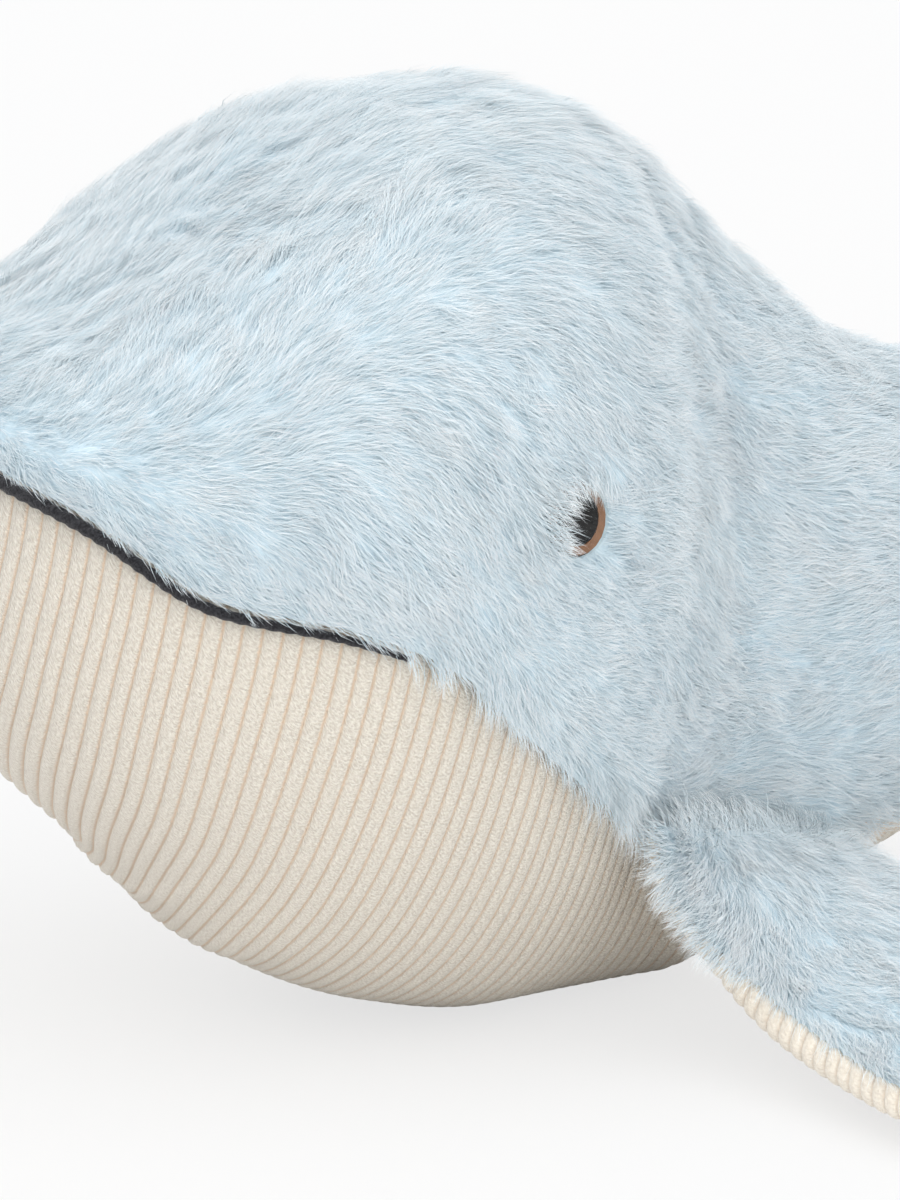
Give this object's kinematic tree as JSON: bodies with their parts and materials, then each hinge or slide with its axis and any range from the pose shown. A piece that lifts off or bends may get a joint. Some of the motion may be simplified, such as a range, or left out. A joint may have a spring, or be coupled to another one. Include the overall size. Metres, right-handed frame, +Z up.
{
  "type": "plush whale",
  "caption": "Stuffed whale with a blue fur back, cream corduroy chin and belly, black mouth cord, safety eyes, side fins and tail flukes.",
  "frame": {"origin": "middle of the bottom of the bounding box, on the surface that the whale rests on", "axes": "+X from the snout to the tail, +Y to the whale's right, +Z up"},
  "size_m": [0.3729, 0.2868, 0.1737],
  "materials": {
    "fur_blue": "soft faux fur",
    "corduroy_cream": "wide-wale corduroy",
    "cord_black": "braided cord",
    "eye_clear": "clear, polished",
    "iris_brown": "glossy",
    "eye_black": "glossy",
    "washer_white": "moulded",
    "stuffing_white": "polyester fibre"
  },
  "bodies": {
    "body": {"body_stuffing": "stuffing_white", "fur_back_left": "fur_blue", "fur_back_right": "fur_blue", "belly_corduroy": "corduroy_cream", "mouth_cord": "cord_black", "eye_dome_left": "eye_clear", "eye_dome_right": "eye_clear", "eye_iris_left": "iris_brown", "eye_iris_right": "iris_brown", "eye_stem_left": "eye_black", "eye_stem_right": "eye_black", "eye_washer_left": "washer_white", "eye_washer_right": "washer_white"},
    "left_fin": {"fin_fur_left": "fur_blue", "fin_underside_left": "corduroy_cream", "fin_stuffing_left": "stuffing_white"},
    "right_fin": {"fin_fur_right": "fur_blue", "fin_underside_right": "corduroy_cream", "fin_stuffing_right": "stuffing_white"},
    "flukes": {"fluke_fur": "fur_blue", "fluke_underside": "corduroy_cream", "fluke_stuffing": "stuffing_white"}
  },
  "joints": [
    {"name": "left_fin_flap", "type": "hinge", "parent": "body", "child": "left_fin", "pos_m": [-0.03528, -0.05156, 0.03751], "axis": [-0.874, -0.4029, 0.2716], "range_deg": [-4, 60], "stiffness_Nm_per_rad": 0.1},
    {"name": "right_fin_flap", "type": "hinge", "parent": "body", "child": "right_fin", "pos_m": [-0.03528, 0.05156, 0.03751], "axis": [0.874, -0.4029, -0.2716], "range_deg": [-4, 60], "stiffness_Nm_per_rad": 0.1},
    {"name": "fluke_tilt", "type": "hinge", "parent": "body", "child": "flukes", "pos_m": [0.12575, 0, 0.11346], "axis": [0, -1, 0], "range_deg": [-30, 30], "stiffness_Nm_per_rad": 0.15}
  ]
}
